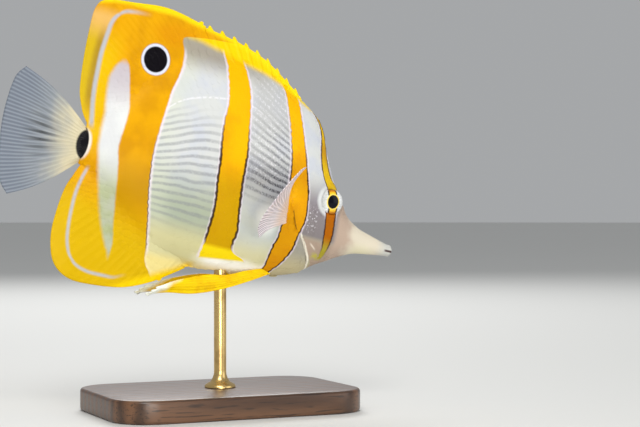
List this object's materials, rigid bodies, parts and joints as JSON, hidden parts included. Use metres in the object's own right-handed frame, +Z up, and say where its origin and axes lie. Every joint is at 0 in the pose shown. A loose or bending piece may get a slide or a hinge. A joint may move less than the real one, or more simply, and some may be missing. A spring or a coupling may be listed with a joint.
{
  "type": "copperband butterflyfish model on a display stand",
  "caption": "Still life-size fish: tall thin banded body, long tubular snout, fanned rayed fins and a swung tail, held by one rod over a flat base.",
  "frame": {"origin": "underside of the stand's base, under the middle of the whole model's box", "axes": "+X towards the fish's head, +Y towards the fish's left, +Z up"},
  "size_m": [0.1461, 0.0686, 0.1437],
  "materials": {
    "flank": "pearly silver-white scaled skin with orange bands edged in dark brown",
    "snout": "smooth cream skin, moist gloss",
    "banded_fin": "yellow-orange scaled fin with fine rays",
    "clear_fin": "thin translucent whitish membrane over fine rays",
    "eye": "black pupil in a silver and yellow ring, wet gloss",
    "stand_wood": "dark satin varnish",
    "stand_brass": "polished"
  },
  "bodies": {
    "root": {"head": "flank", "snout": "snout", "upper_jaw": "snout", "lower_jaw": "snout", "gill_cover_right": "flank", "gill_cover_left": "flank", "eye_right": "eye", "eye_left": "eye", "trunk": "flank", "tail_stalk": "flank", "dorsal_fin_spiny": "banded_fin", "dorsal_fin_soft": "banded_fin", "anal_fin": "banded_fin", "pelvic_fin_right": "banded_fin", "pelvic_fin_left": "banded_fin", "tail_fin": "clear_fin", "pectoral_fin_right": "clear_fin", "pectoral_fin_left": "clear_fin", "stand_base": "stand_wood", "stand_rod": "stand_brass"}
  },
  "joints": []
}
